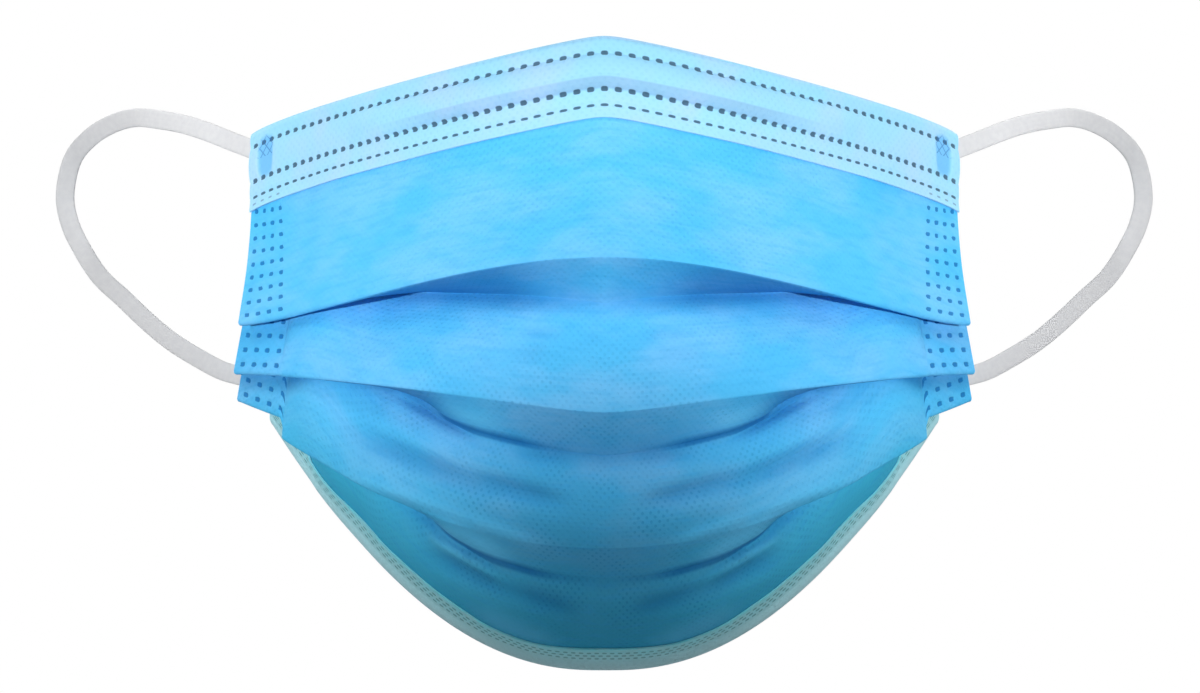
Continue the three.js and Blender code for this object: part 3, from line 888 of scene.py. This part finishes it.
def patch_net(finish, aside, y):
    """Crossed lines pressed into the upper half of that weld."""
    half = PATCH_NET_PITCH / 2
    falling = finish.math("PINGPONG", finish.math("ADD", aside, y), half)
    rising = finish.math("PINGPONG", finish.math("SUBTRACT", aside, y), half)
    line = finish.ramp(finish.math("MINIMUM", falling, rising), 0.1, 0.26, 1.0, 0.0)
    line = finish.times(line, finish.math("LESS_THAN", y, PATCH_WELD.down))
    return finish.times(line, patch_weld(finish, aside, y))


# The hem's colours at distances up from the lower edge, below zero on the back
HEM_TONES = [
    (-4.0, (214, 232, 240)),
    (0.0, (196, 240, 250)),
    (0.8, (226, 246, 255)),
    (1.8, (206, 240, 255)),
    (2.2, (248, 252, 255)),
    (2.8, (134, 238, 246)),
    (5.6, (134, 240, 250)),
    (6.8, (150, 242, 255)),
]
HEM_WELD_ROWS = [Weld(up, 0.95, 0.5) for up in (3.3, 4.3, 5.3)]
HEM_WELD_PITCH = 1.7


def hem_cloth():
    finish = Finish("hem_cloth")
    x, y = finish.place("cloth")
    _, relief, _ = nonwoven(finish, x, y)
    base = finish.gradient(y, HEM_TONES)
    lumps = finish.ramp(finish.noise(x, y, 0.7, 3.0, 2.5), 0.35, 0.7, 0.0, 0.5)
    base = finish.blend(lumps, base, colour(178, 232, 240))
    for number, row in enumerate(HEM_WELD_ROWS):
        shifted = finish.math("ADD", x, HEM_WELD_PITCH / 2 * (number % 2))
        across = finish.math("PINGPONG", shifted, HEM_WELD_PITCH / 2)
        base = finish.over(base, finish.dots(across, y, row), 0.6, (70, 150, 160))
    return finish.complete(relief, 0.14, Base_Color=base, Roughness=0.8, Specular_IOR_Level=0.1)


def elastic():
    finish = Finish("elastic")
    x, y = finish.place("cloth")
    ribs = finish.math("PINGPONG", x, LOOP_RIB_PITCH / 2)
    knit = finish.noise(x, y, 0.8, 2.0)
    base = finish.blend(finish.ramp(knit, 0.3, 0.7), colour(213, 214, 216), colour(208, 209, 212))
    relief = finish.math("ADD", ribs, finish.times(knit, 0.1))
    return finish.complete(
        relief, 0.02, Base_Color=base, Roughness=0.7, Sheen_Weight=0.2, Specular_IOR_Level=0.3
    )


def wire_strip():
    finish = Finish("wire_strip")
    x, y = finish.place("cloth")
    base = finish.blend(finish.noise(x, y, 0.5), colour(238, 240, 242), colour(228, 232, 236))
    finish.set(Base_Color=base, Roughness=0.45)
    return finish.material


# Pieces


def column_shares():
    free = np.linspace(0, TAB_SHARE - RAMP_SHARE, FREE_COLUMNS)
    ramp = np.linspace(TAB_SHARE - RAMP_SHARE, TAB_SHARE, RAMP_COLUMNS)[1:]
    tab = np.linspace(TAB_SHARE, 1, TAB_COLUMNS)[1:]
    half = np.concatenate([free, ramp, tab])
    return np.concatenate([-half[:0:-1], half])


# How strongly the painted shade darkens the cloth inside each pleat and along its inner fold, at
# distances from the middle plane, and how far below the pleat it reaches.
PleatShade = namedtuple("PleatShade", "inside fold reach")
PLEAT_SHADES = [
    PleatShade(
        [(0, 0.14), (12, 0.3), (22, 0.6), (36, 0.6), (50, 0.42), (66, 0.3), (78, 0.2)],
        [(0, 0.1), (20, 0.3), (34, 0.3), (46, 0)],
        4.5,
    ),
    PleatShade(
        [(0, 0.22), (14, 0.14), (22, 0), (31, 0.1), (38, 0.5), (55, 0.7), (70, 0.7), (80, 0.45)],
        [(0, 0.25), (12, 0.3), (19, 0.8), (38, 0.8), (46, 0)],
        3.4,
    ),
    PleatShade(
        [(0, 0.12), (12, 0.05), (16, 0), (34, 0), (45, 0.25), (60, 0.4), (76, 0.4)],
        [(0, 0.1), (10, 0.3), (17, 0.75), (36, 0.7), (46, 0)],
        1.8,
    ),
]

# The painted shade along a pleat's inner fold: how far up its middle lies, and its core and rim
FOLD_SHADE_UP = 0.6
FOLD_SHADE_CORE = 0.4
FOLD_SHADE_RIM = 0.9


def painted_pleat_shades(section, down, share):
    """The weights of the painted shade inside the pleats and along their inner folds."""
    size = np.abs(share)
    aside = HALF_CLOTH * size
    inside, fold = np.zeros(down.shape), np.zeros(down.shape)
    for number, (pleat, tone) in enumerate(zip(PLEATS, PLEAT_SHADES)):
        ridge = np.flatnonzero(section == number)[-1] + FOLD_ROWS // 2
        start = np.flatnonzero(section == number + 1)[0]
        below = down - down[start]
        hidden = PLEAT_DEPTH * pleat.depth * closing(pleat, size)
        reach = 1 - smooth((below - hidden) / tone.reach)
        rows = slice(ridge + 2, None)
        inside[rows] += (reach * np.interp(aside, *zip(*tone.inside)))[rows]
        line = 1 - smooth((np.abs(below + FOLD_SHADE_UP) - FOLD_SHADE_CORE) / FOLD_SHADE_RIM)
        fold[rows] += (line * np.interp(aside, *zip(*tone.fold)))[rows]
    return inside, fold


def tab_weld_spread(section, down):
    """How far apart the columns of the tabs' welds lie at each point of the cloth."""
    spread = np.full(down.shape, TAB_WELD_SPREAD[1])
    upper = np.flatnonzero(section == 0)
    part = (down[upper] - FLAP_WIDTH) / (down[upper[-1]] - FLAP_WIDTH)
    spread[upper] = TAB_WELD_SPREAD[0] + (TAB_WELD_SPREAD[1] - TAB_WELD_SPREAD[0]) * part
    for number in range(1, len(PLEATS) + 1):
        spread[section == number] = TAB_WELD_SPREAD[number]
    return spread


def cloth_map(share, down):
    """The cloth's own coordinates at each point: across from the middle plane, and down."""
    down = np.broadcast_to(down, (len(down), len(share)))
    return np.stack([np.broadcast_to(HALF_CLOTH * share, down.shape), down], axis=-1)


def pleated_panel(materials):
    """The panel's piece, and its middle surface."""
    share = column_shares()
    blocks = panel_blocks(np.abs(share))
    grid = mirrored(np.concatenate([points for _, points in blocks]), share)
    section = np.concatenate([np.full(len(points), number) for number, points in blocks])
    down = EDGE_COVER + travelled(grid)
    fade = smooth((down[-1] - down) / HEM_STIFFNESS)
    # The creases' lift, kept for the painted shade in their grooves and the painted highlight on
    # their swellings.
    crease_shade_and_highlight = crease_lift(grid) * fade * looseness(share)
    grid = wrinkled(grid, share, fade)
    above = np.full(down.shape, FAR_FROM_WELDS)
    for number in range(len(PLEATS)):
        rows = np.flatnonzero(section == number)
        above[rows] = down[rows[-1] + FOLD_ROWS // 2] - down[rows]
    spread = tab_weld_spread(section, down)
    from_edge = HALF_CLOTH * (1 - np.abs(share)) / spread
    dent = TAB_DENT * tab_weld_mask(from_edge, above)
    maps = {
        "cloth": cloth_map(share, down),
        "tab": np.stack([from_edge, above], axis=-1),
        # The pleat map holds the weights of the painted shade in the pleats.
        "pleat": np.stack(painted_pleat_shades(section, down, share), axis=-1),
        "crease": np.stack([crease_shade_and_highlight, crease_shade_and_highlight], axis=-1),
    }
    return cloth_mesh("mask_panel", grid, CLOTH, dent, materials, maps), grid


def upper_surface(share, down):
    """Points and outward directions at distances down (rows, growing) of the upper section."""
    size = np.abs(share)
    distances = down[:, None] + 0 * share
    grid = wrinkled(mirrored(resample(upper_curve(size), distances), share), share)
    return grid, unit(normals_of(grid))


def hump(x, low, high):
    """A rounded rise from 0 at low to 1 half way and back to 0 at high."""
    return np.sin(np.pi * np.clip((x - low) / (high - low), 0, 1)) ** 0.8


def flap_lift(share, down):
    """How far the binding's flap stands off its rest: over the wire, and puffed between welds."""
    first, second, third = (row.down for row in WELD_ROWS)
    aside = np.abs(share) * HALF_CLOTH
    over_wire = WIRE_RISE * smooth((WIRE_LENGTH / 2 + WIRE_RUNOUT - aside) / WIRE_RUNOUT)
    channel = np.maximum(over_wire, CHANNEL_PUFF) * hump(down, first, second)
    puffs = UPPER_PUFF * hump(down, 0.2, first) + LOWER_PUFF * hump(down, second, third)
    puffs = puffs + LOWER_PUFF * smooth((down - third - 0.5) / 2)
    patch = dot_mask(np.abs(aside - HALF_CLOTH + PATCH_INSET), down, PATCH_WELD)
    return (channel + puffs) * (1 - patch)


def edge_turn(edge, normal, beyond, offset):
    """The rows that take a binding round an edge, from the front to the back."""
    angles = np.linspace(0, math.pi, EDGE_TURN_ROWS)
    rows = [edge + offset * (normal * math.cos(a) + beyond * math.sin(a)) for a in angles]
    return np.stack(rows)


def weld_columns():
    """Shares of columns that follow the weld dots across the whole cloth."""
    reach = int(HALF_CLOTH / WELD_PITCH)
    around = np.array([*DOT_COLUMNS, WELD_PITCH / 2])
    places = (np.arange(-reach, reach + 1)[:, None] * WELD_PITCH + around).ravel()
    places = places[np.abs(places) < HALF_CLOTH - 0.2]
    return np.concatenate([[-HALF_CLOTH], places, [HALF_CLOTH]]) / HALF_CLOTH


def flap_distances():
    """Rows of the front flap, close together at the weld dots, from its top edge down."""
    places = set(np.round(np.linspace(EDGE_COVER + 0.05, FLAP_WIDTH, FLAP_ROWS), 3))
    for row in WELD_ROWS:
        half = row.height / 2
        inner, outer = half * 0.6, half + 0.1
        places = {p for p in places if abs(p - row.down) > half + 0.3}
        places.update(row.down + offset for offset in (-outer, -inner, 0, inner, outer))
    return np.array(sorted(places))


def top_binding(material):
    share = weld_columns()
    down = flap_distances()
    points, normals = upper_surface(share, down)
    lift = FLAP_REST + flap_lift(share[None], down[:, None])
    flap = points + normals * lift[..., None]
    edge, normal = upper_surface(share, np.array([EDGE_COVER, EDGE_COVER + 0.5]))
    beyond = unit(edge[0] - edge[1])
    turn = edge_turn(edge[0], normal[0], beyond, FLAP_REST)
    inner = np.linspace(EDGE_COVER + 1, TURN_IN_WIDTH, TURN_IN_ROWS)
    inside, inside_normals = upper_surface(share, inner)
    inside = inside - inside_normals * FLAP_REST
    grid = np.concatenate([inside[::-1], turn[::-1], flap])
    places = np.concatenate([np.full(len(turn) + len(inner), FAR_FROM_WELDS), down])
    across = nearest_multiple(HALF_CLOTH * share, WELD_PITCH)
    dots = sum(dot_mask(across, places[:, None], row) for row in WELD_ROWS)
    maps = {"cloth": cloth_map(share, places[:, None])}
    return cloth_mesh("mask_top_binding", grid, BINDING, BAND_DENT * dots, [material], maps)


def nose_wire(material):
    reach = WIRE_LENGTH / 2 / HALF_CLOTH
    share = np.linspace(-reach, reach, WIRE_COLUMNS)
    down = WIRE_BELOW_EDGE + WIRE_WIDTH * np.linspace(-0.5, 0.5, WIRE_ROWS)
    points, normals = upper_surface(share, down)
    grid = points + normals * WIRE_REST
    maps = {"cloth": cloth_map(share, down[:, None])}
    flat = np.zeros(grid.shape[:2])
    return cloth_mesh("mask_nose_wire", grid, WIRE_THICKNESS, flat, [material], maps)


def bottom_binding(panel, material):
    """The hem round the panel's lower edge. panel is the panel's middle surface."""
    line = panel[::-1][:HEM_SOURCE_ROWS]
    out = unit(normals_of(panel))[::-1][:HEM_SOURCE_ROWS]

    def flap(distances, side):
        spread = distances[:, None] + np.zeros(line.shape[1])
        rise = HEM_REST + HEM_ROLL * hump(distances, *HEM_ROLL_SPAN)[:, None, None]
        return resample(line, spread) + side * resample(line, spread, out) * rise

    front = np.linspace(HEM_WIDTH, HEM_START, HEM_ROWS)
    back = np.linspace(HEM_START, HEM_TURN_IN, HEM_TURN_IN_ROWS)
    turn = edge_turn(line[0], out[0], unit(line[0] - line[1]), HEM_REST)
    grid = np.concatenate([flap(front, 1), turn, flap(back, -1)])
    places = np.concatenate([front, np.zeros(len(turn)), -back])
    maps = {"cloth": cloth_map(column_shares(), places[:, None])}
    flat = np.zeros(grid.shape[:2])
    return cloth_mesh("mask_bottom_binding", grid, BINDING, flat, [material], maps)


def loop_section():
    """A flat elastic's section: an oblong with round sides."""
    angles = np.linspace(0, 2 * math.pi, LOOP_SIDES, endpoint=False)
    across, through = np.cos(angles), np.sin(angles)
    x = np.sign(across) * np.abs(across) ** LOOP_SIDE_ROUNDING
    y = np.sign(through) * np.abs(through) ** LOOP_FACE_ROUNDING
    return np.stack([x * LOOP_WIDTH / 2, y * LOOP_THICKNESS / 2], axis=-1)


def loop_path():
    """The right loop's route, with its two ends pressed into the back of the cloth."""
    route = np.array(LOOP_ROUTE)
    for ends, line, press in LOOP_WELDS:
        route[ends] += outward(line, np.array([LOOP_WELD_SHARE])) * press
    return catmull_rom(route[:, None], LOOP_SPAN_STEPS)[:, 0]


def ear_loop(side, material):
    path = loop_path()
    across = unit(np.cross(unit(np.gradient(path, axis=0)), np.array([0.0, 1.0, 0.0])))
    flip = np.array([side, 1.0, 1.0])
    name = "mask_ear_loop_right" if side > 0 else "mask_ear_loop_left"
    piece = swept_mesh(name, path * flip, across * flip, loop_section(), material)
    path = path * flip * MM
    return piece


def placed(piece, node):
    """Ties a piece to the body, and hides the CAD node that it stands for."""
    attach(piece, "root")
    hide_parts(node)


def lamp(name, kind, place, aim, power):
    """Adds a lamp at a place, turned towards its aim, and returns its light."""
    light = bpy.data.lights.new(name, kind)
    light.energy = power
    holder = bpy.data.objects.new(name, light)
    holder.location = place
    holder.rotation_euler = (place - aim).to_track_quat("Z", "Y").to_euler()
    bpy.context.scene.collection.objects.link(holder)
    return light


def bearing(side, turn, rise=0):
    """A direction turned from straight ahead of the mask to one side, and raised."""
    turn, rise = math.radians(turn), math.radians(rise)
    return Vector((side * math.sin(turn), -math.cos(turn), math.tan(rise))).normalized()


def soft_lamp(name, side, turn, rise, distance, power):
    """A wide lamp, aimed at the middle of the mask."""
    middle = Vector((0, 0, CAMERA_HEIGHT)) * MM
    place = middle + bearing(side, turn, rise) * distance
    light = lamp(name, "AREA", place, middle, power)
    light.size = SOFT_LAMP_SIZE
    light.spread = math.radians(SOFT_LAMP_SPREAD)


def beam(name, side, meets, radius, power):
    """A narrow lamp with a soft rim, aimed at its place on one side of the mask."""
    aim = Vector((side * meets[0], *meets[1:])) * MM
    light = lamp(name, "SPOT", aim + bearing(side, BEAM_TURN) * BEAM_DISTANCE, aim, power)
    light.spot_size = 2 * math.atan(radius * MM / BEAM_DISTANCE)
    light.spot_blend = 1
    light.shadow_soft_size = BEAM_SOFTNESS


def make_studio():
    bpy.ops.mesh.primitive_plane_add(size=FLOOR_SIZE, location=(0, 0, FLOOR_HEIGHT))
    floor = bpy.context.object
    floor.name = "floor"
    pale = Finish("floor")
    pale.set(Base_Color=colour(212, 214, 216), Roughness=0.9)
    floor.data.materials.append(pale.material)
    for side in (-1, 1):
        soft_lamp("key", side, KEY_TURN, KEY_RISE, KEY_DISTANCE, KEY_POWER)
        beam("fill", side, FILL_MEETS, FILL_RADIUS, FILL_POWER)
        beam("beside", side, LOOP_LAMP_MEETS, LOOP_LAMP_RADIUS, LOOP_LAMP_POWER)
        soft_lamp("back", side, BACK_TURN, BACK_RISE, BACK_DISTANCE, BACK_POWER)


def make_world():
    """White behind the mask, with more light from above than from below."""
    world = bpy.data.worlds.new("studio")
    bpy.context.scene.world = world
    world.use_nodes = True
    tree = world.node_tree
    tree.nodes.clear()
    kinds = ("OutputWorld", "MixShader", "LightPath", "TexCoord", "SeparateXYZ", "MapRange")
    output, chosen, sight, place, parts, ramp = (
        tree.nodes.new("ShaderNode" + kind) for kind in kinds
    )
    sky = tree.nodes.new("ShaderNodeBackground")
    white = tree.nodes.new("ShaderNodeBackground")
    white.inputs["Color"].default_value = (1, 1, 1, 1)
    for socket, value in zip(ramp.inputs[1:5], SKY_HEIGHTS + SKY_LIGHT):
        socket.default_value = value
    for source, target in (
        (place.outputs["Generated"], parts.inputs[0]),
        (parts.outputs[2], ramp.inputs[0]),
        (ramp.outputs[0], sky.inputs["Color"]),
        (sight.outputs["Is Camera Ray"], chosen.inputs[0]),
        (sky.outputs[0], chosen.inputs[1]),
        (white.outputs[0], chosen.inputs[2]),
        (chosen.outputs[0], output.inputs[0]),
    ):
        tree.links.new(source, target)


make_camera()
elastic_finish = elastic()
for side, node in ((-1, "ear_loop_left"), (1, "ear_loop_right")):
    placed(ear_loop(side, elastic_finish), node)

panel, panel_middle = pleated_panel([outer_cloth(), inner_cloth()])
placed(panel, "pleated_panel")
upper_band = top_binding(binding_cloth())
placed(upper_band, "top_binding")
placed(nose_wire(wire_strip()), "nose_wire")
hem = bottom_binding(panel_middle, hem_cloth())
placed(hem, "bottom_binding")

make_studio()
make_world()
bpy.context.scene.view_settings.view_transform = "Standard"
